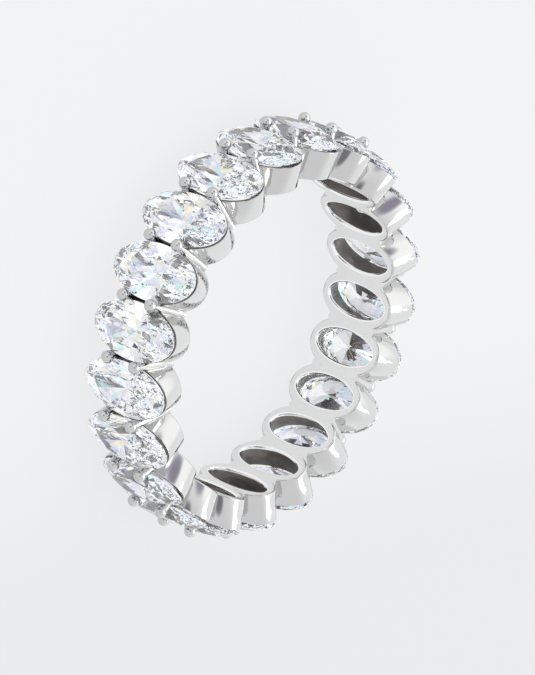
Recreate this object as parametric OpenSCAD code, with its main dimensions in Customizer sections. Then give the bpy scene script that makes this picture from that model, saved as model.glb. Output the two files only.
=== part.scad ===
// Full eternity ring: oval stones side by side all the way round, each in an open
// oval cup, held by two shared prongs at every junction.
// The ring lies on its side: its axis is +Z and the cups' lower ends stand on z = 0.

/* [Stones] */
// Number of stones round the ring
stone_count = 21; // [18:1:24]
// Length of a stone, along the ring's axis
stone_len = 5; // [4.8:0.1:5.4]
// Width of a stone, round the ring
stone_w = 2.9; // [2.8:0.05:3]
// Gap between neighbouring girdles
stone_gap = 0.18; // [0.14:0.01:0.2]
// Height of the crown above the girdle
crown_h = 0.46; // [0.36:0.02:0.56]
// Thickness of the girdle
girdle_t = 0.1; // [0.06:0.01:0.14]
// Depth of the pavilion below the girdle
pavilion_h = 1.26; // [1.1:0.02:1.3]
// Table size as a share of the stone's size
table_share = 0.58; // [0.5:0.01:0.62]

/* [Cups] */
// Height from the finger surface to the middle of the girdle
cup_h = 1.76; // [1.7:0.02:1.9]
// Height of the girdle's middle above the cup's rim
rim_drop = 0.2; // [0.18:0.01:0.24]
// How far a cup's rim stands past the stone all round
rim_past = 0.02; // [0.01:0.01:0.03]
// How much shorter than its rim a cup is at the finger surface, at each end
foot_short = 0.32; // [0.2:0.02:0.36]
// Length of the open hole at the finger surface
hole_len = 3.46; // [3.2:0.02:3.6]
// Width of the open hole at the finger surface
hole_w = 1.62; // [1.5:0.02:1.66]
// Thickness of a cup's rim at its ends
rim_end = 0.16; // [0.14:0.01:0.2]
// Thickness of a cup's rim at its sides
rim_side = 0.13; // [0.1:0.01:0.14]

/* [Prongs] */
// Diameter of a prong's wire
wire_d = 0.5; // [0.46:0.02:0.56]
// Diameter of the rounded prong tip
tip_d = 0.64; // [0.6:0.02:0.68]
// Height of the tip's centre above the middle of the girdle
tip_h = 0.57; // [0.54:0.01:0.6]
// Distance of a prong's tip from the ring's middle plane
tip_off = 0.87; // [0.8:0.01:1]
// Distance of a prong's foot from the ring's middle plane, at the finger surface
foot_off = 1.24; // [1.1:0.01:1.3]

/* [Hidden] */
$fn = 32;
pitch = 360 / stone_count;
// radius at which the flat girdles stand side by side
girdle_r = (stone_w + stone_gap) / 2 / tan(pitch / 2);
finger_r = girdle_r - cup_h;
rim_h = cup_h - rim_drop;
// half sizes of the cup's outside and of its hole: [along the ring's axis, round the ring]
cup_rim = [stone_len, stone_w] / 2 + [rim_past, rim_past];
cup_foot = cup_rim - [foot_short, 0];
hole_rim = cup_rim - [rim_end, rim_side];
hole_foot = [hole_len, hole_w] / 2;
// sides of the ovals of the cups, a multiple of the stone's girdle points
oval_sides = 32;
// turn of a cup's corners, so that they never meet the next cup's corners
corner_turn = 360 / oval_sides / 4;
// the ring's middle plane lies half a cup above the surface that it lies on
mid_z = cup_rim.x * cos(corner_turn);
// clearance between a stone and the metal that holds it
fit_gap = 0.035;
// how far cutting and cut bodies run past the finger surface
past = 0.6;
// top of the notch that the girdle takes out of each prong, above the girdle's middle
notch_top = 0.2;
// angle at which a prong leans from its foot towards the middle plane
lean = atan((foot_off - tip_off) / (cup_h + tip_h));

// The brilliant cut, in shares of the stone's half length and half width: eight main
// directions, with one more point of the girdle between each two.
mains = 8;
main_turn = 360 / mains;
girdle_points = 2 * mains;
// where a star facet ends, as a share of the way from the table to the girdle
star_share = 0.35;
// where the lower halves end, as a share of the pavilion's depth
lower_share = 0.78;
star_r = table_share + (1 - table_share) * star_share;
crown_z = girdle_t / 2;
pavilion_z = -girdle_t / 2;

stone_names = [for (k = [1 : stone_count]) str("stone_", k < 10 ? "0" : "", k)];

// the points of one level of the stone, on an oval
function level(size, height, count, start) = [
  for (i = [0 : count - 1])
    let (a = start + i * 360 / count)
    [stone_len / 2 * size * cos(a), stone_w / 2 * size * sin(a), height]
];

// the first index of each level in stone_points
table_at = 0;
star_at = table_at + mains;
upper_at = star_at + mains;
lower_at = upper_at + girdle_points;
tip_at = lower_at + girdle_points;
culet_at = tip_at + mains;

stone_points = concat(
  level(table_share, crown_z + crown_h, mains, 0),
  level(star_r / cos(main_turn / 2), crown_z + crown_h * (1 - star_share), mains, main_turn / 2),
  level(1, crown_z, girdle_points, 0),
  level(1, pavilion_z, girdle_points, 0),
  level((1 - lower_share) / cos(main_turn / 2), pavilion_z - pavilion_h * lower_share,
        mains, main_turn / 2),
  [[0, 0, pavilion_z - pavilion_h]]
);

// the i-th point of a level of count points, counted round
function at(first, i, count) = first + (i + count) % count;
function table(i) = at(table_at, i, mains);
function star(i) = at(star_at, i, mains);
function upper(i) = at(upper_at, i, girdle_points);
function lower(i) = at(lower_at, i, girdle_points);
function tip(i) = at(tip_at, i, mains);

stone_faces = concat(
  [[for (i = [mains - 1 : -1 : 0]) table(i)]],
  [for (i = [0 : mains - 1]) [table(i), table(i + 1), star(i)]],
  [for (i = [0 : mains - 1]) [table(i), star(i), upper(2 * i), star(i - 1)]],
  [for (i = [0 : mains - 1]) [star(i), upper(2 * i + 1), upper(2 * i)]],
  [for (i = [0 : mains - 1]) [star(i), upper(2 * i + 2), upper(2 * i + 1)]],
  [for (i = [0 : girdle_points - 1]) [upper(i), upper(i + 1), lower(i + 1), lower(i)]],
  [for (i = [0 : mains - 1]) [tip(i), lower(2 * i), lower(2 * i + 1)]],
  [for (i = [0 : mains - 1]) [tip(i), lower(2 * i + 1), lower(2 * i + 2)]],
  [for (i = [0 : mains - 1]) [culet_at, tip(i - 1), lower(2 * i), tip(i)]]
);

// puts a shape at seat k: its origin in the middle of the girdle, its z axis outwards
// and its x axis along the ring's axis
module at_seat(k)
  rotate([0, 0, k * pitch])
    translate([girdle_r, 0, mid_z])
      rotate([0, 90, 0])
        children();

// an oval with the given half sizes, its first corner at angle start
module oval(half, start = 0)
  polygon([
    for (i = [0 : oval_sides - 1])
      let (a = start + i * 360 / oval_sides)
      [half.x * cos(a), half.y * sin(a)]
  ]);

// an oval body that widens from foot, at the finger surface, to rim, at the rim's height;
// it starts inside the finger hole and runs over past the rim
module oval_taper(foot, rim, over, start = 0) {
  low = foot - (rim - foot) * past / rim_h;
  high = rim + (rim - foot) * over / rim_h;
  translate([0, 0, -cup_h - past])
    linear_extrude(height = past + rim_h + over, slices = 1, scale = [high.x / low.x, high.y / low.y])
      oval(low, start);
}

// a cup before it is opened, shorter towards the finger
module cup_body()
  oval_taper(cup_foot, cup_rim, 0, corner_turn);

// the open oval hole under a stone
module cup_hole()
  oval_taper(hole_foot, hole_rim, rim_drop);

// the notch that a stone's girdle takes out of the prongs, from the rim upwards
module girdle_notch()
  translate([0, 0, -rim_drop])
    linear_extrude(height = rim_drop + notch_top)
      oval([stone_len / 2 + fit_gap, stone_w / 2 + fit_gap]);

// a shared prong on one side of the middle plane: a round wire with a rounded tip
module prong(side) {
  translate([finger_r - past, 0, mid_z + side * (foot_off + past * tan(lean))])
    rotate([0, 90 + side * lean, 0])
      cylinder(h = (cup_h + tip_h + past) / cos(lean), d = wire_d);
  translate([girdle_r + tip_h, 0, mid_z + side * tip_off])
    sphere(d = tip_d);
}

// cups and prongs soldered into one ring, with the finger hole through it
module setting() {
  color("gainsboro")
    difference() {
      union() {
        for (k = [0 : stone_count - 1]) at_seat(k) cup_body();
        for (k = [0 : stone_count - 1], side = [-1, 1])
          rotate([0, 0, (k + 0.5) * pitch]) prong(side);
      }
      translate([0, 0, -past])
        cylinder(h = 2 * (mid_z + past), r = finger_r);
      for (k = [0 : stone_count - 1]) at_seat(k) cup_hole();
      for (k = [0 : stone_count - 1]) at_seat(k) girdle_notch();
    }
}

// the stone at seat k, a flat-faced oval brilliant
module stone(k)
  color("aliceblue", 0.6)
    at_seat(k) polyhedron(points = stone_points, faces = stone_faces);

setting();
for (k = [0 : stone_count - 1])
  stone(k);
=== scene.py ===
"""Dresses the full eternity ring: polished cups and prongs, and cut oval stones.

Every piece is modelled at its real size in metres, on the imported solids. The ring lies on
its side with its axis on +Z, and the first stone sits on +X.
"""

import math

import bpy
from mathutils import Matrix, Vector


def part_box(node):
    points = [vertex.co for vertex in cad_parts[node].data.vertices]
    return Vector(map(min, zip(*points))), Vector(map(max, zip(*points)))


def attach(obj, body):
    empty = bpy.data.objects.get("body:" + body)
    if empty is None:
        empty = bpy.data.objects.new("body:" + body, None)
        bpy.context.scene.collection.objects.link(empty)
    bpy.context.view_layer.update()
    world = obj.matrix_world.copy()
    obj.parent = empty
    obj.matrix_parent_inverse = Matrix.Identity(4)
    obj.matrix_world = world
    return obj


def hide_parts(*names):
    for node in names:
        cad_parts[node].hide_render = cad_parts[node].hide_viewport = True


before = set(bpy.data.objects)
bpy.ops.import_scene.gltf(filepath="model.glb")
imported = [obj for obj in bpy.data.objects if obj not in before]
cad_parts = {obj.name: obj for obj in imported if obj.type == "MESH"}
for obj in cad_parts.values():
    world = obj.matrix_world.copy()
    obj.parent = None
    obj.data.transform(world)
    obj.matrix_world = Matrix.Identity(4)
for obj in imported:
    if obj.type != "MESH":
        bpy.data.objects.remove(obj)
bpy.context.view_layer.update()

bl_info = {
    "name": "Oval Eternity Ring",
    "version": (1, 0, 0),
    "blender": (4, 5, 0),
    "location": "View3D > Sidebar > Eternity Ring",
    "description": "Makes a full eternity ring of oval stones in shared prongs",
    "category": "Add Mesh",
}

MM = 0.001
STONE_NODES = sorted(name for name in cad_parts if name.startswith("stone_"))
COUNT = len(STONE_NODES)
PITCH = math.tau / COUNT
BOX_LOW, BOX_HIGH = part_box("setting")
MID_Z = (BOX_LOW[2] + BOX_HIGH[2]) / 2
# doubles closer than this are one corner
WELD = 1e-6
# the bisect tool's own default is a tenth of a millimetre, more than these walls
CUT = 1e-8
# how far cutting bodies run past the surface that they cut
PAST = 0.6 * MM
# clearance between a stone and the metal that holds it
FIT_GAP = 0.035 * MM
# top of the notch that the girdle takes out of each prong
NOTCH_TOP = 0.2 * MM
# points round a cup or hole, round the finger surface and round a stone's girdle
OVAL_SIDES = 96
FINGER_SIDES = 12 * COUNT
GIRDLE_SIDES = 64
# main facets round a stone's crown, and as many round its pavilion
MAINS = 8
# edges of the setting that turn by more than this stay sharp, in degrees
SHARP_ANGLE = 32
# the setting's material slots, after the polished metal in the first: recess metal darkened as
# painted shade, the finger surface lightened as painted light, and hole edges made near white as a
# painted highlight
SHADED_RECESS, BURNISHED_LIT, PAINTED_HIGHLIGHT = 1, 2, 3
# a face lies in a hole if its place, in shares of the hole's half sizes, squares to less
HOLE_REACH = 1.02
# how straight a rim's top faces out, and the finger surface in, as the cosine of its slant
RIM_FACING = 0.7
FINGER_FACING = 0.97
# how far the painted shade in the gap between two cups runs, as a share of the way to the prong
# tips
SHADED_GAP_REACH = 0.7
# painted fire: tints painted on a stone's facets in place of the colours that they flash, from one
# to the next
WHITE, YELLOW = (1.0, 1.0, 1.0), (1.0, 0.88, 0.35)
BLUE, PALE_BLUE = (0.35, 0.50, 1.0), (0.45, 0.60, 1.0)
LILAC, SEA_GREEN = (0.55, 0.55, 1.0), (0.25, 1.0, 0.80)
PAINTED_FIRE = (WHITE, BLUE, YELLOW, WHITE, LILAC, WHITE, PALE_BLUE, SEA_GREEN, WHITE)
# how far a facet's tint depends on its direction, and on its place per metre
TINT_BY_TURN = 7
TINT_BY_PLACE = 300
# the floor runs past the picture on every side
FLOOR_SIZE = 1.6
# the floor's light rises from one of these places to the other, along X
DIM_SIDE = -16 * MM
BRIGHT_SIDE = -2 * MM
# the photograph's view, in degrees round and above the floor and about the line of sight
CAMERA_AZIMUTH = 71.911
CAMERA_ELEVATION = 33.101
CAMERA_ROLL = 112.182
CAMERA_AWAY = 277.72 * MM
# how far the camera stands beside the line to the ring's middle, to its right and upwards
CAMERA_SHIFT = (0.587 * MM, -0.533 * MM)
PICTURE_HEIGHT = 675
FOCAL_PIXELS = 5500
SENSOR = 36.0


def length(name, description, default):
    return bpy.props.FloatProperty(
        name=name, description=description, default=default, unit="LENGTH", precision=6
    )


def tint(name, description, default):
    return bpy.props.FloatVectorProperty(
        name=name, description=description, default=default, subtype="COLOR", size=4, min=0, max=1
    )


class StoneSizes(bpy.types.PropertyGroup):
    """Sizes of the oval stones"""

    long: length("Length", "Length of a stone, along the ring's axis", 5.0 * MM)
    wide: length("Width", "Width of a stone, round the ring", 2.9 * MM)
    gap: length("Gap", "Gap between neighbouring girdles", 0.18 * MM)
    crown: length("Crown", "Height of the crown above the girdle", 0.46 * MM)
    girdle: length("Girdle", "Thickness of the girdle", 0.1 * MM)
    pavilion: length("Pavilion", "Depth of the pavilion below the girdle", 1.26 * MM)
    table: bpy.props.FloatProperty(
        name="Table", description="Table size as a share of the stone's size",
        default=0.58, min=0.4, max=0.8, subtype="FACTOR",
    )
    star: bpy.props.FloatProperty(
        name="Star", description="Where a star facet ends, as a share of the way to the girdle",
        default=0.5, min=0.1, max=0.9, subtype="FACTOR",
    )
    lower: bpy.props.FloatProperty(
        name="Lower halves", description="Where the lower halves end, as a share of the pavilion",
        default=0.78, min=0.5, max=0.95, subtype="FACTOR",
    )


class SettingSizes(bpy.types.PropertyGroup):
    """Sizes of the cups and prongs"""

    cup: length("Cup height", "From the finger surface to the middle of the girdle", 1.76 * MM)
    rim_drop: length("Rim drop", "Height of the girdle's middle above the cup's rim", 0.2 * MM)
    rim_past: length("Rim past", "How far a cup's rim stands past the stone", 0.02 * MM)
    foot_short: length("Foot short", "How much shorter a cup is at the finger surface", 0.32 * MM)
    hole_long: length("Hole length", "Length of the open hole at the finger surface", 3.46 * MM)
    hole_wide: length("Hole width", "Width of the open hole at the finger surface", 1.62 * MM)
    rim_end: length("Rim at ends", "Thickness of a cup's rim at its ends", 0.16 * MM)
    rim_side: length("Rim at sides", "Thickness of a cup's rim at its sides", 0.13 * MM)
    wire: length("Prong wire", "Diameter of a prong's wire", 0.5 * MM)
    tip: length("Prong tip", "Diameter of the rounded prong tip", 0.64 * MM)
    tip_high: length("Tip height", "Height of a tip's centre above the girdle", 0.57 * MM)
    tip_off: length("Tip offset", "Distance of a tip from the ring's middle plane", 0.87 * MM)
    foot_off: length("Foot offset", "Distance of a prong's foot from the middle plane", 1.24 * MM)
    lip: length("Lip rounding", "Rounding of a cup's rim", 0.05 * MM)
    foot_edge: length("Foot rounding", "Rounding of a cup's edge at the finger surface", 0.1 * MM)
    hole_edge: length("Hole rounding", "Rounding of a hole's edge at the finger surface", 0.16 * MM)


class FinishLooks(bpy.types.PropertyGroup):
    """Colours and polish"""

    metal: tint("Metal", "Colour of the polished white metal", (0.63, 0.63, 0.625, 1))
    # painted light: the finger surface is coloured lighter than the polished metal, in place of the
    # light that it shows
    inside: tint("Inside", "Colour of the burnished finger surface", (0.83, 0.83, 0.82, 1))
    # painted highlight: this near-white colour stands in for the highlight on the holes' round
    # edges
    edge: tint("Edge", "Colour of the bright edges of the holes", (0.99, 0.99, 0.985, 1))
    # painted shade: this colour darkens the metal in holes, under the girdles and between cups
    recess: tint(
        "Recess", "Colour of the unpolished metal in holes and gaps", (0.28, 0.255, 0.23, 1)
    )
    stone: tint("Stone", "Colour that the stones let through", (0.97, 0.975, 1.0, 1))
    bending: bpy.props.FloatProperty(
        name="Bending", description="How strongly the stones bend light", default=2.17, min=1, max=3
    )
    # painted fire: how strongly the tints are painted on the facets
    fire: bpy.props.FloatProperty(
        name="Fire", description="Strength of the tints that their facets flash", default=0.8,
        min=0, max=1, subtype="FACTOR",
    )
    floor: tint("Floor", "Colour of the floor", (0.08, 0.08, 0.081, 1))
    table_light: bpy.props.FloatProperty(
        name="Table light", description="Light that comes up through the floor",
        default=0.80, min=0, max=2,
    )


def sizes():
    """The sizes and looks that the operators share."""
    scene = bpy.context.scene
    return scene.ring_stone, scene.ring_setting, scene.ring_looks


def girdle_radius(stone):
    return (stone.wide + stone.gap) / 2 / math.tan(PITCH / 2)


def lone():
    """Leaves nothing selected, in object mode."""
    if bpy.context.object and bpy.context.object.mode != "OBJECT":
        bpy.ops.object.mode_set(mode="OBJECT")
    bpy.ops.object.select_all(action="DESELECT")


def take(piece):
    """Selects one piece alone and makes it active."""
    lone()
    piece.select_set(True)
    bpy.context.view_layer.objects.active = piece
    return piece


def edit(piece, action="SELECT"):
    """Opens one piece in edit mode with all of it selected, or nothing with DESELECT."""
    take(piece)
    bpy.ops.object.mode_set(mode="EDIT")
    bpy.ops.mesh.select_all(action=action)


def oval_loft(name, levels):
    """A closed oval body: levels are (distance from the ring's axis, half length, half width)."""
    lone()
    radius, half_long, half_wide = levels[0]
    bpy.ops.mesh.primitive_circle_add(
        vertices=OVAL_SIDES, radius=half_wide, fill_type="NGON",
        location=(radius, 0, MID_Z), rotation=(0, math.pi / 2, 0),
    )
    body = bpy.context.object
    body.name = name
    bpy.ops.object.transform_apply(location=False, rotation=True, scale=True)
    edit(body)
    bpy.ops.transform.resize(
        value=(1, 1, half_long / half_wide), center_override=(radius, 0, MID_Z)
    )
    for next_radius, next_long, next_wide in levels[1:]:
        bpy.ops.mesh.extrude_region_move(
            TRANSFORM_OT_translate={"value": (next_radius - radius, 0, 0)}
        )
        bpy.ops.transform.resize(
            value=(1, next_wide / half_wide, next_long / half_long),
            center_override=(next_radius, 0, MID_Z),
        )
        radius, half_long, half_wide = next_radius, next_long, next_wide
    bpy.ops.mesh.select_all(action="SELECT")
    bpy.ops.mesh.normals_make_consistent(inside=False)
    bpy.ops.object.mode_set(mode="OBJECT")
    return body


def rounding(steps=3):
    """(inwards, along) of a quarter round of radius 1, from the wall to the edge."""
    for i in range(steps + 1):
        turn = math.pi / 2 * i / steps
        yield 1 - math.cos(turn), math.sin(turn)


def carve(body, tool, operation):
    """Joins, cuts or keeps with another body, which is used up."""
    take(body)
    cut = body.modifiers.new(operation.title(), "BOOLEAN")
    cut.operation = operation
    cut.solver = "EXACT"
    cut.object = tool
    bpy.ops.object.modifier_apply(modifier=cut.name)
    old = tool.data
    bpy.data.objects.remove(tool)
    bpy.data.meshes.remove(old)


def trim(body, point, normal):
    """Cuts away the side that normal points to, and leaves the cut open."""
    edit(body)
    bpy.ops.mesh.bisect(
        plane_co=point, plane_no=normal, clear_outer=True, use_fill=False, threshold=CUT
    )
    bpy.ops.object.mode_set(mode="OBJECT")


def move_to_origin(piece):
    """Puts a piece's place, turn and scale in its mesh."""
    take(piece)
    bpy.ops.object.transform_apply(location=True, rotation=True, scale=True)


def turned_copy(piece, name, turn):
    """A copy with its own mesh, turned round the ring's axis."""
    copy = piece.copy()
    copy.data = piece.data.copy()
    copy.name = copy.data.name = name
    bpy.context.scene.collection.objects.link(copy)
    copy.rotation_euler.z = turn
    move_to_origin(copy)
    return copy


def cup_levels(stone, metal):
    """The outside of a cup, from inside the finger hole up to its rounded rim."""
    at_girdle = girdle_radius(stone)
    finger, rim = at_girdle - metal.cup, at_girdle - metal.rim_drop
    rim_half = Vector((stone.long / 2 + metal.rim_past, stone.wide / 2 + metal.rim_past))
    per_rise = metal.foot_short / (rim - finger)

    def level(radius, inset):
        return radius, rim_half.x - (rim - radius) * per_rise - inset, rim_half.y - inset

    foot = [level(finger + metal.foot_edge * (1 - along), metal.foot_edge * inwards)
            for inwards, along in rounding()]
    top = [level(rim - metal.lip * (1 - along), metal.lip * inwards)
           for inwards, along in rounding()]
    past = level(finger - PAST, metal.foot_edge)
    return [past, *reversed(foot), *top]


def hole_levels(stone, metal):
    """The open hole through a cup, widened by a round edge at both ends."""
    at_girdle = girdle_radius(stone)
    finger, rim = at_girdle - metal.cup, at_girdle - metal.rim_drop
    rim_half = Vector((
        stone.long / 2 + metal.rim_past - metal.rim_end,
        stone.wide / 2 + metal.rim_past - metal.rim_side,
    ))
    foot_half = Vector((metal.hole_long / 2, metal.hole_wide / 2))
    # the hole's edge at the rim is rounded a little less than the cup's own
    rim_edge = metal.lip * 0.8

    def level(radius, outset):
        half = foot_half.lerp(rim_half, (radius - finger) / (rim - finger))
        return radius, half.x + outset, half.y + outset

    foot = [level(finger + metal.hole_edge * (1 - along), metal.hole_edge * inwards)
            for inwards, along in rounding()]
    top = [level(rim - rim_edge * (1 - along), rim_edge * inwards)
           for inwards, along in rounding()]
    return [
        level(finger - PAST, metal.hole_edge), *reversed(foot), *top,
        level(rim + metal.rim_drop, rim_edge),
    ]


def follow_finger(body, finger, edge):
    """Moves the loops near the finger surface in by that surface's own curve."""
    for corner in body.data.vertices:
        if corner.co.x < finger + edge + WELD:
            corner.co.x -= finger - math.sqrt(finger ** 2 - corner.co.y ** 2)


def prong(stone, metal):
    """One prong in the plane between two stones: a leaning round wire with a ball tip."""
    finger = girdle_radius(stone) - metal.cup
    tip_at = girdle_radius(stone) + metal.tip_high
    rise = tip_at - finger
    lean = math.atan2(metal.foot_off - metal.tip_off, rise)
    long = (rise + PAST) / math.cos(lean)
    lone()
    bpy.ops.mesh.primitive_cylinder_add(
        vertices=32, radius=metal.wire / 2, depth=long,
        location=(0, 0, 0), rotation=(0, math.pi / 2 + lean, 0),
    )
    wire = bpy.context.object
    middle = (tip_at + finger - PAST) / 2
    wire.location = (middle, 0, MID_Z + metal.tip_off + (tip_at - middle) * math.tan(lean))
    bpy.ops.mesh.primitive_uv_sphere_add(
        segments=32, ring_count=20, radius=metal.tip / 2,
        location=(tip_at, 0, MID_Z + metal.tip_off), rotation=(0, math.pi / 2, 0),
    )
    ball = bpy.context.object
    for part in (wire, ball):
        move_to_origin(part)
        part.rotation_euler.z = PITCH / 2
        move_to_origin(part)
    carve(wire, ball, "UNION")
    return wire


def round_bar(name, radius, sides):
    """A round body along the ring's axis, longer than the ring is wide."""
    lone()
    bpy.ops.mesh.primitive_cylinder_add(
        vertices=sides, radius=radius, depth=2 * (BOX_HIGH[2] - BOX_LOW[2]),
        location=(0, 0, MID_Z), rotation=(0, 0, math.pi / sides),
    )
    bar = bpy.context.object
    bar.name = name
    move_to_origin(bar)
    return bar


def quarter_cup(stone, metal):
    """A quarter of a cup with half a prong, between the planes in which it repeats."""
    at_girdle = girdle_radius(stone)
    finger, rim = at_girdle - metal.cup, at_girdle - metal.rim_drop
    cup = oval_loft("cup", cup_levels(stone, metal))
    hole = oval_loft("hole", hole_levels(stone, metal))
    for body, edge in ((cup, metal.foot_edge), (hole, metal.hole_edge)):
        move_to_origin(body)
        follow_finger(body, finger, edge)
    carve(cup, prong(stone, metal), "UNION")
    notch_half = (stone.long / 2 + FIT_GAP, stone.wide / 2 + FIT_GAP)
    notch = oval_loft("notch", [(rim, *notch_half), (at_girdle + NOTCH_TOP, *notch_half)])
    move_to_origin(notch)
    carve(cup, round_bar("finger", finger, FINGER_SIDES), "DIFFERENCE")
    carve(cup, hole, "DIFFERENCE")
    carve(cup, notch, "DIFFERENCE")
    trim(cup, (0, 0, 0), (0, -1, 0))
    trim(cup, (0, 0, MID_Z), (0, 0, -1))
    trim(cup, (0, 0, 0), (-math.sin(PITCH / 2), math.cos(PITCH / 2), 0))
    return cup


def mark_finishes_and_painted_light(cup, stone, metal):
    """Tells apart from the rest the faces that get painted shade in holes, on rim tops under the
    girdles and in the gaps between cups, painted light on the finger surface, and a painted
    highlight on the holes' edges; the shaded faces are also unpolished.
    """
    at_girdle = girdle_radius(stone)
    finger, rim = at_girdle - metal.cup, at_girdle - metal.rim_drop
    hole_rim_long = stone.long / 2 + metal.rim_past - metal.rim_end
    hole_rim_wide = stone.wide / 2 + metal.rim_past - metal.rim_side
    # a hole's round edge ends here, and its straight wall starts
    wall_start = finger + metal.hole_edge
    for face in cup.data.polygons:
        middle, out = face.center, face.normal
        across, along = middle.y, middle.z - MID_Z
        sink = finger - math.sqrt(finger ** 2 - across ** 2)
        share = (middle.x - finger) / (rim - finger)
        half_long = metal.hole_long / 2 * (1 - share) + hole_rim_long * share
        half_wide = metal.hole_wide / 2 * (1 - share) + hole_rim_wide * share
        in_hole = (along / half_long) ** 2 + (across / half_wide) ** 2 < HOLE_REACH
        facing_in = out.y * across + out.z * along < 0
        wall = in_hole and facing_in and wall_start - sink < middle.x < rim
        rim_top = out.x > RIM_FACING and abs(middle.x - rim) < metal.lip and middle.x < rim + WELD
        gap = wall_start < middle.x < rim and along < metal.tip_off * SHADED_GAP_REACH
        # painted shade: hole walls, rim tops under the girdles and gaps between cups take the dark
        # recess metal
        if wall or rim_top or (gap and across > half_wide):
            face.material_index = SHADED_RECESS
        # painted light: the finger surface takes the lighter burnished metal
        elif out.x < -FINGER_FACING and middle.x < finger + WELD:
            face.material_index = BURNISHED_LIT
        # painted highlight: the round edge at a hole's foot takes the near-white edge metal
        elif facing_in and middle.x < wall_start - sink + WELD:
            face.material_index = PAINTED_HIGHLIGHT


def mirrored(piece, axis, centre):
    """Adds the piece's mirror image across one axis through centre, welded in the middle."""
    take(piece)
    bpy.context.scene.cursor.location = centre
    bpy.ops.object.origin_set(type="ORIGIN_CURSOR")
    twin = piece.modifiers.new("Twin", "MIRROR")
    twin.use_axis = [axis == "X", axis == "Y", axis == "Z"]
    twin.use_mirror_merge = True
    twin.merge_threshold = WELD
    bpy.ops.object.modifier_apply(modifier=twin.name)
    move_to_origin(piece)


def closed(piece):
    """Stops the script if the piece's surface has an open or doubled edge."""
    edit(piece, "DESELECT")
    bpy.ops.mesh.select_mode(type="EDGE")
    bpy.ops.mesh.select_non_manifold()
    bpy.ops.object.mode_set(mode="OBJECT")
    bad = [e.index for e in piece.data.edges if e.select]
    if bad:
        raise RuntimeError(f"{piece.name} has {len(bad)} open edges")


class RING_OT_setting(bpy.types.Operator):
    """Make the cups and prongs as one soldered piece of polished metal"""

    bl_idname = "ring.setting"
    bl_label = "Setting"

    def execute(self, context):
        stone, metal, looks = sizes()
        cup = quarter_cup(stone, metal)
        cup.data.materials.clear()
        # the polished metal, then the same metal with painted shade, with painted light and with a
        # painted highlight
        for finish in (polished_metal, shaded_recess_metal, burnished_lit_metal, painted_highlight_edge):
            cup.data.materials.append(finish(looks))
        mark_finishes_and_painted_light(cup, stone, metal)
        mirrored(cup, "Y", (0, 0, 0))
        mirrored(cup, "Z", (0, 0, MID_Z))
        cups = [turned_copy(cup, f"cup_{k}", k * PITCH) for k in range(1, COUNT)]
        take(cup)
        for other in cups:
            other.select_set(True)
        bpy.ops.object.join()
        setting = bpy.context.object
        setting.name = setting.data.name = "ring_setting"
        edit(setting)
        bpy.ops.mesh.remove_doubles(threshold=WELD)
        bpy.ops.mesh.normals_make_consistent(inside=False)
        bpy.ops.object.mode_set(mode="OBJECT")
        closed(setting)
        take(setting)
        bpy.ops.object.shade_smooth_by_angle(angle=math.radians(SHARP_ANGLE))
        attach(setting, "root")
        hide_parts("setting")
        return {"FINISHED"}


def polar(radius, turn, height):
    """A point on a stone that stands upright on the origin."""
    return Vector((radius * math.cos(turn), radius * math.sin(turn), height))


def grind(a, b, c):
    """Cuts one flat facet through three points, and keeps the side with the stone's middle."""
    normal = (b - a).cross(c - a).normalized()
    if normal.dot(a) < 0:
        normal.negate()
    bpy.ops.mesh.select_all(action="SELECT")
    bpy.ops.mesh.bisect(
        plane_co=a, plane_no=normal, clear_outer=True, use_fill=True, threshold=CUT
    )


def cut_stone(stone):
    """A brilliant cut as a lapidary makes it: a round blank, ground facet by facet."""
    radius, high = stone.wide / 2, stone.girdle / 2
    top, deep = high + stone.crown, high + stone.pavilion
    table = stone.table * radius
    eighth = math.tau / MAINS
    # where the stars end, on the edge between two crown mains
    star_out = table * math.cos(eighth / 2) + (radius - table * math.cos(eighth / 2)) * stone.star
    star_up = high + stone.crown * (radius - star_out * math.cos(eighth / 2)) / (radius - table)
    # where the lower halves end, on the edge between two pavilion mains
    lower_in = radius * (1 - stone.lower) / math.cos(eighth / 2)
    lower_down = -high - stone.pavilion * stone.lower
    lone()
    bpy.ops.mesh.primitive_cylinder_add(
        vertices=GIRDLE_SIDES, radius=radius, depth=2 * deep, location=(0, 0, 0)
    )
    gem = bpy.context.object
    edit(gem)
    flat = polar(0, 0, top)
    grind(flat, flat + Vector((radius, 0, 0)), flat + Vector((0, radius, 0)))
    culet = polar(0, 0, -deep)
    for k in range(MAINS):
        turn = k * eighth
        side = Vector((-math.sin(turn), math.cos(turn), 0)) * radius
        edge = polar(radius, turn, high)
        grind(edge, polar(table, turn, top), edge + side)
        lower_edge = polar(radius, turn, -high)
        grind(lower_edge, culet, lower_edge + side)
    for k in range(MAINS):
        turn, between = k * eighth, (k + 0.5) * eighth
        star = polar(star_out, between, star_up)
        grind(polar(table, turn, top), polar(table, turn + eighth, top), star)
        valley = polar(lower_in, between, lower_down)
        for end in (turn, turn + eighth):
            grind(star, polar(radius, end, high), polar(radius, between, high))
            grind(valley, polar(radius, end, -high), polar(radius, between, -high))
    bpy.ops.mesh.select_all(action="SELECT")
    bpy.ops.transform.resize(value=(stone.long / stone.wide, 1, 1), center_override=(0, 0, 0))
    bpy.ops.mesh.remove_doubles(threshold=WELD)
    bpy.ops.mesh.normals_make_consistent(inside=False)
    bpy.ops.object.mode_set(mode="OBJECT")
    gem.rotation_euler = (0, math.pi / 2, 0)
    gem.location = (girdle_radius(stone), 0, MID_Z)
    move_to_origin(gem)
    bpy.ops.object.shade_flat()
    return gem


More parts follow.
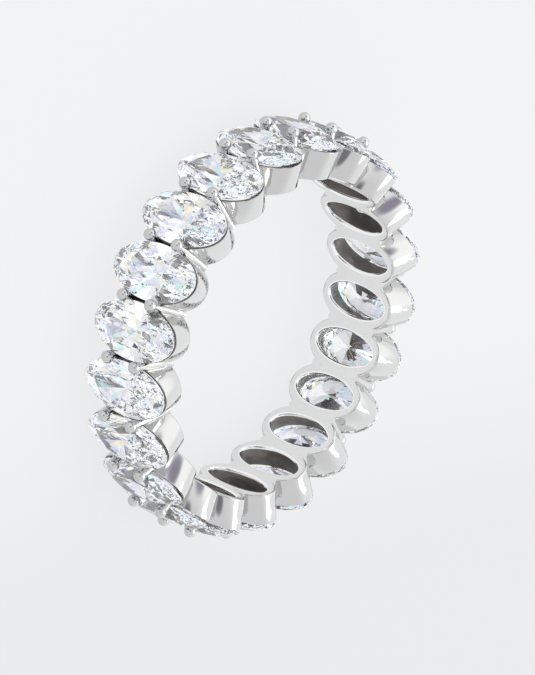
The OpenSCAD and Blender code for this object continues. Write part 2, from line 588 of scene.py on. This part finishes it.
class RING_OT_stones(bpy.types.Operator):
    """Make the cut stones, one on each seat"""

    bl_idname = "ring.stones"
    bl_label = "Stones"

    def execute(self, context):
        stone, _, looks = sizes()
        first = cut_stone(stone)
        closed(first)
        first.data.materials.append(clear_stone(looks))
        gems = [first] + [turned_copy(first, "gem", k * PITCH) for k in range(1, COUNT)]
        for cad_stone, gem in zip(STONE_NODES, gems):
            gem.name = gem.data.name = cad_stone.replace("stone", "oval_gem")
            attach(gem, "root")
            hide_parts(cad_stone)
        return {"FINISHED"}


def new_group(name, inputs, outputs):
    """A node group with number inputs (name, default) and outputs (name, kind)."""
    group = bpy.data.node_groups.new(name, "ShaderNodeTree")
    for label, value in inputs:
        socket = group.interface.new_socket(label, in_out="INPUT", socket_type="NodeSocketFloat")
        socket.default_value = value
    for label, kind in outputs:
        group.interface.new_socket(label, in_out="OUTPUT", socket_type=kind)
    return group, group.nodes.new("NodeGroupInput"), group.nodes.new("NodeGroupOutput")


def node(tree, kind, values=None, **settings):
    """A node with its settings, and its inputs set or linked by name or number."""
    made = tree.nodes.new(kind)
    for key, value in settings.items():
        setattr(made, key, value)
    for key, value in (values or {}).items():
        if isinstance(value, bpy.types.NodeSocket):
            tree.links.new(value, made.inputs[key])
        else:
            made.inputs[key].default_value = value
    return made


def hand_polish():
    """Faint ripples, scratches and clouds of polish on metal, with their sizes in millimetres."""
    group = bpy.data.node_groups.get("Hand polish")
    if group:
        return group
    group, given, out = new_group(
        "Hand polish",
        [("Ripple size", 0.8), ("Ripple", 0.3), ("Scratch size", 0.05), ("Scratch", 0.2),
         ("Rough low", 0.05), ("Rough high", 0.12)],
        [("Roughness", "NodeSocketFloat"), ("Normal", "NodeSocketVector"),
         ("Cloud", "NodeSocketFloat")],
    )
    place = node(group, "ShaderNodeTexCoord").outputs["Object"]
    in_mm = node(group, "ShaderNodeVectorMath", {0: place, "Scale": 1 / MM}, operation="SCALE")
    ripple_scale = node(group, "ShaderNodeMath", {0: 1.0, 1: given.outputs["Ripple size"]},
                        operation="DIVIDE")
    scratch_scale = node(group, "ShaderNodeMath", {0: 1.0, 1: given.outputs["Scratch size"]},
                         operation="DIVIDE")
    ripple = node(group, "ShaderNodeTexNoise",
                  {"Vector": in_mm.outputs[0], "Scale": ripple_scale.outputs[0], "Detail": 1.0})
    cloud = node(group, "ShaderNodeTexNoise",
                 {"Vector": in_mm.outputs[0], "Scale": 1.7, "Detail": 3.0, "Roughness": 0.6})
    scratch = node(group, "ShaderNodeTexNoise",
                   {"Vector": in_mm.outputs[0], "Scale": scratch_scale.outputs[0], "Detail": 2.0})
    wide = node(group, "ShaderNodeBump",
                {"Strength": given.outputs["Ripple"], "Distance": 0.02 * MM,
                 "Height": ripple.outputs["Fac"]})
    fine = node(group, "ShaderNodeBump",
                {"Strength": given.outputs["Scratch"], "Distance": 0.002 * MM,
                 "Height": scratch.outputs["Fac"], "Normal": wide.outputs["Normal"]})
    rough = node(group, "ShaderNodeMapRange",
                 {"Value": cloud.outputs["Fac"], "From Min": 0.3, "From Max": 0.7,
                  "To Min": given.outputs["Rough low"], "To Max": given.outputs["Rough high"]})
    group.links.new(rough.outputs["Result"], out.inputs["Roughness"])
    group.links.new(fine.outputs["Normal"], out.inputs["Normal"])
    group.links.new(cloud.outputs["Fac"], out.inputs["Cloud"])
    return group


def new_material(name):
    """A material, its node tree and its Principled BSDF."""
    material = bpy.data.materials.new(name)
    material.use_nodes = True
    tree = material.node_tree
    return material, tree, tree.nodes["Principled BSDF"]


def metal_finish(name, colour, darker, values):
    """White metal: colour varies a little between two tones, with its own polish."""
    material, tree, shader = new_material(name)
    polish = node(tree, "ShaderNodeGroup", node_tree=hand_polish())
    for key, value in values.items():
        polish.inputs[key].default_value = value
    tone = node(tree, "ShaderNodeMix", {"Factor": polish.outputs["Cloud"]}, data_type="RGBA")
    tone.inputs["A"].default_value = colour
    tone.inputs["B"].default_value = [c * darker for c in colour[:3]] + [1]
    tree.links.new(tone.outputs["Result"], shader.inputs["Base Color"])
    tree.links.new(polish.outputs["Roughness"], shader.inputs["Roughness"])
    tree.links.new(polish.outputs["Normal"], shader.inputs["Normal"])
    shader.inputs["Metallic"].default_value = 1.0
    return material


def polished_metal(looks):
    return metal_finish(
        "Polished white metal", tuple(looks.metal), 0.94,
        {"Ripple size": 1.1, "Ripple": 0.25, "Scratch": 0.15, "Rough low": 0.05,
         "Rough high": 0.11},
    )


# painted light: the same metal made lighter on the finger surface, with a rougher burnished polish
def burnished_lit_metal(looks):
    return metal_finish(
        "Burnished finger surface with painted light", tuple(looks.inside), 0.97,
        {"Ripple size": 1.4, "Ripple": 0.35, "Scratch": 0.3, "Rough low": 0.12,
         "Rough high": 0.24},
    )


# painted highlight: the metal made near white on the holes' round edges
def painted_highlight_edge(looks):
    return metal_finish(
        "Hole edge with painted highlight", tuple(looks.edge), 0.99,
        {"Ripple size": 0.9, "Ripple": 0.25, "Scratch": 0.2, "Rough low": 0.1,
         "Rough high": 0.18},
    )


# painted shade: the metal darkened where shade falls in holes, under the girdles and between cups,
# with a rougher unpolished polish
def shaded_recess_metal(looks):
    return metal_finish(
        "Recess metal with painted shade", tuple(looks.recess), 0.7,
        {"Ripple size": 0.3, "Ripple": 0.7, "Scratch": 0.6, "Rough low": 0.3,
         "Rough high": 0.45},
    )


def clear_stone(looks):
    """Clear cut stone. Light leaves it in pale colours that differ from facet to facet, painted on
    its slanted facets as painted fire.
    """
    material, tree, shader = new_material("Clear cut stone")
    geometry = node(tree, "ShaderNodeNewGeometry")
    facing = geometry.outputs["True Normal"]
    place = node(tree, "ShaderNodeTexCoord").outputs["Object"]
    spread = node(tree, "ShaderNodeVectorMath", {0: place, 1: [TINT_BY_PLACE] * 3},
                  operation="MULTIPLY")
    sample = node(tree, "ShaderNodeVectorMath",
                  {0: facing, 1: [TINT_BY_TURN] * 3, 2: spread.outputs[0]},
                  operation="MULTIPLY_ADD")
    pick = node(tree, "ShaderNodeTexNoise", {"Vector": sample.outputs[0], "Scale": 1.0,
                                             "Detail": 0.0})
    hues = node(tree, "ShaderNodeValToRGB", {"Fac": pick.outputs["Fac"]})
    ramp = hues.color_ramp
    ramp.interpolation = "CONSTANT"
    while len(ramp.elements) < len(PAINTED_FIRE):
        ramp.elements.new(0.5)
    # nearly all of the noise's values lie between these two
    least, most = 0.3, 0.7
    for step, (element, colour) in enumerate(zip(ramp.elements, PAINTED_FIRE)):
        element.position = least + (most - least) * step / len(PAINTED_FIRE)
        element.color = (*colour, 1)
    # the table faces straight out from the ring's axis, and stays white; these cosines tell it
    # from the facets round it
    table_cosine, slanted_cosine = 0.995, 0.98
    flat = node(tree, "ShaderNodeVectorMath", {0: place, 1: (1, 1, 0)}, operation="MULTIPLY")
    straight_out = node(tree, "ShaderNodeVectorMath", {0: flat.outputs[0]}, operation="NORMALIZE")
    along = node(tree, "ShaderNodeVectorMath", {0: straight_out.outputs[0], 1: facing},
                 operation="DOT_PRODUCT")
    size = node(tree, "ShaderNodeMath", {0: along.outputs["Value"]}, operation="ABSOLUTE")
    slanted = node(tree, "ShaderNodeMapRange",
                   {"Value": size.outputs["Value"], "From Min": table_cosine,
                    "From Max": slanted_cosine, "To Max": looks.fire})
    leaving = node(tree, "ShaderNodeMath",
                   {0: geometry.outputs["Backfacing"], 1: slanted.outputs["Result"]},
                   operation="MULTIPLY")
    # painted fire: where light leaves through a slanted facet, the tints take the place of the
    # clear colour
    clear = node(tree, "ShaderNodeMix", {"Factor": leaving.outputs["Value"]}, data_type="RGBA")
    clear.inputs["A"].default_value = tuple(looks.stone)
    tree.links.new(hues.outputs["Color"], clear.inputs["B"])
    tree.links.new(clear.outputs["Result"], shader.inputs["Base Color"])
    shader.inputs["Roughness"].default_value = 0.0
    shader.inputs["IOR"].default_value = looks.bending
    shader.inputs["Transmission Weight"].default_value = 1.0
    return material


def aim(azimuth, elevation):
    """A direction from the ring, in degrees round and above the floor."""
    a, e = math.radians(azimuth), math.radians(elevation)
    return Vector((math.cos(e) * math.cos(a), math.cos(e) * math.sin(a), math.sin(e)))


def patch(tree, ray, outside, base, centre, reach, soft, colour):
    """The surroundings with a round patch of another tone, reach and soft edge in degrees."""
    near = node(tree, "ShaderNodeVectorMath", {0: ray, 1: centre}, operation="DOT_PRODUCT")
    mask = node(tree, "ShaderNodeMapRange",
                {"Value": near.outputs["Value"],
                 "From Min": math.cos(math.radians(reach + soft)),
                 "From Max": math.cos(math.radians(reach))},
                interpolation_type="SMOOTHSTEP")
    share = node(tree, "ShaderNodeMath", {0: mask.outputs["Result"], 1: outside},
                 operation="MULTIPLY")
    mixed = node(tree, "ShaderNodeMix",
                 {"Factor": share.outputs["Value"], "A": base}, data_type="RGBA")
    mixed.inputs["B"].default_value = (*colour, 1)
    return mixed.outputs["Result"]


def lit_table(looks):
    """A pale floor with light coming up through it, so that it stays pale beside the ring."""
    material, tree, shader = new_material("Pale floor")
    place = node(tree, "ShaderNodeTexCoord").outputs["Object"]
    grain = node(tree, "ShaderNodeTexNoise", {"Vector": place, "Scale": 40.0, "Detail": 2.0})
    tone = node(tree, "ShaderNodeMix", {"Factor": grain.outputs["Fac"]}, data_type="RGBA")
    tone.inputs["A"].default_value = tuple(looks.floor)
    tone.inputs["B"].default_value = [c * 0.99 for c in looks.floor[:3]] + [1]
    tree.links.new(tone.outputs["Result"], shader.inputs["Base Color"])
    shader.inputs["Roughness"].default_value = 0.9
    shader.inputs["Specular IOR Level"].default_value = 0.1
    # the light is dimmer on the side that is at the bottom of the picture
    apart = node(tree, "ShaderNodeSeparateXYZ", {"Vector": place})
    dim = node(tree, "ShaderNodeMapRange",
               {"Value": apart.outputs["X"], "From Min": DIM_SIDE, "From Max": BRIGHT_SIDE},
               interpolation_type="SMOOTHSTEP")
    glow = node(tree, "ShaderNodeMix", {"Factor": dim.outputs["Result"]}, data_type="RGBA")
    glow.inputs["A"].default_value = (0.915, 0.92, 0.932, 1)
    glow.inputs["B"].default_value = (0.985, 0.99, 1.0, 1)
    tree.links.new(glow.outputs["Result"], shader.inputs["Emission Color"])
    shader.inputs["Emission Strength"].default_value = looks.table_light
    return material


def soft_surroundings():
    """An even pale studio with soft patches for the metal to mirror."""
    world = bpy.data.worlds.new("Soft studio")
    world.use_nodes = True
    tree = world.node_tree
    ray = node(tree, "ShaderNodeTexCoord").outputs["Generated"]
    # light that has passed through a stone doesn't meet the patches
    path = node(tree, "ShaderNodeLightPath")
    outside = node(tree, "ShaderNodeMath", {0: path.outputs["Transmission Depth"], 1: 0.5},
                   operation="LESS_THAN")
    plain = node(tree, "ShaderNodeRGB")
    plain.outputs[0].default_value = (1.16, 1.165, 1.18, 1)
    colour = plain.outputs[0]
    for centre, reach, soft, shade in (
        (aim(120, 30), 40, 40, (0.93, 0.93, 0.95)),
        (aim(325, 40), 18, 20, (1.45, 1.45, 1.45)),
        (aim(12, 37), 8, 16, (0.40, 0.38, 0.46)),
        (aim(72, 33), 7, 10, (0.26, 0.255, 0.27)),
    ):
        colour = patch(tree, ray, outside.outputs["Value"], colour, centre, reach, soft, shade)
    tree.links.new(colour, tree.nodes["Background"].inputs["Color"])
    return world


def hang_lamps(middle):
    """A large soft lamp and a small bright one, for the glints on edges and facets."""
    for name, towards, away, size, strength in (
        ("softbox", aim(-88, 70), 0.7, (0.34, 0.26), 3.0),
        ("spark", aim(-100, 52), 0.7, (0.025, 0.025), 60.0),
    ):
        bpy.ops.object.light_add(type="AREA", location=middle + towards * away)
        lamp = bpy.context.object
        lamp.name = lamp.data.name = name
        lamp.data.shape = "RECTANGLE"
        lamp.data.size, lamp.data.size_y = size
        # the power that gives the panel this brightness, whatever its size
        lamp.data.energy = strength * math.pi * size[0] * size[1]
        lamp.rotation_euler = towards.to_track_quat("Z", "Y").to_euler()


def place_camera(scene, middle):
    """The photograph's view, turned about the line of sight because the ring lies on its side."""
    bpy.ops.object.camera_add()
    camera = bpy.context.object
    camera.name = camera.data.name = "camera"
    back = aim(CAMERA_AZIMUTH, CAMERA_ELEVATION)
    level = Vector((-back.y, back.x, 0)).normalized()
    roll = math.radians(CAMERA_ROLL)
    right = level * math.cos(roll) + back.cross(level) * math.sin(roll)
    up = back.cross(right)
    place = middle + back * CAMERA_AWAY + right * CAMERA_SHIFT[0] + up * CAMERA_SHIFT[1]
    turn = Matrix((right, up, back)).transposed().to_4x4()
    camera.matrix_world = Matrix.Translation(place) @ turn
    camera.data.sensor_fit = "VERTICAL"
    camera.data.sensor_height = SENSOR
    camera.data.lens = SENSOR * FOCAL_PIXELS / PICTURE_HEIGHT
    camera.data.clip_start = 0.01
    scene.camera = camera


def finish_picture(scene):
    """A weak bloom round the brightest points."""
    scene.view_settings.view_transform = "Standard"
    scene.use_nodes = True
    tree = scene.node_tree
    picture = tree.nodes["Render Layers"].outputs["Image"]
    bloom = node(tree, "CompositorNodeGlare",
                 {"Image": picture, "Threshold": 1.0, "Strength": 0.5, "Size": 0.35},
                 glare_type="BLOOM")
    tree.links.new(bloom.outputs["Image"], tree.nodes["Composite"].inputs["Image"])


class RING_OT_studio(bpy.types.Operator):
    """Make the pale floor, the soft surroundings, the light and the camera"""

    bl_idname = "ring.studio"
    bl_label = "Studio"

    def execute(self, context):
        looks = sizes()[2]
        scene = context.scene
        middle = Vector((0, 0, MID_Z))
        lone()
        bpy.ops.mesh.primitive_plane_add(size=FLOOR_SIZE, location=(0, 0, BOX_LOW[2]))
        floor = context.object
        floor.name = floor.data.name = "floor"
        move_to_origin(floor)
        floor.data.materials.append(lit_table(looks))
        scene.world = soft_surroundings()
        hang_lamps(middle)
        place_camera(scene, middle)
        finish_picture(scene)
        # light that enters a stone meets many facets before it leaves
        scene.cycles.max_bounces = 28
        scene.cycles.glossy_bounces = 24
        scene.cycles.transmission_bounces = 24
        return {"FINISHED"}


class RING_PT_panel(bpy.types.Panel):
    """The ring's sizes, looks and steps"""

    bl_idname = "RING_PT_panel"
    bl_label = "Eternity Ring"
    bl_space_type = "VIEW_3D"
    bl_region_type = "UI"
    bl_category = "Eternity Ring"

    def draw(self, context):
        column = self.layout.column()
        for group in sizes():
            for key in group.__annotations__:
                column.prop(group, key)
        for step in STEPS:
            column.operator(step.bl_idname)


STEPS = (RING_OT_studio, RING_OT_setting, RING_OT_stones)
CLASSES = (StoneSizes, SettingSizes, FinishLooks, *STEPS, RING_PT_panel)


def register():
    for each in CLASSES:
        bpy.utils.register_class(each)
    bpy.types.Scene.ring_stone = bpy.props.PointerProperty(type=StoneSizes)
    bpy.types.Scene.ring_setting = bpy.props.PointerProperty(type=SettingSizes)
    bpy.types.Scene.ring_looks = bpy.props.PointerProperty(type=FinishLooks)


def unregister():
    del bpy.types.Scene.ring_looks
    del bpy.types.Scene.ring_setting
    del bpy.types.Scene.ring_stone
    for each in reversed(CLASSES):
        bpy.utils.unregister_class(each)


def main():
    register()
    bpy.ops.ring.studio()
    bpy.ops.ring.setting()
    bpy.ops.ring.stones()


if __name__ == "__main__":
    main()
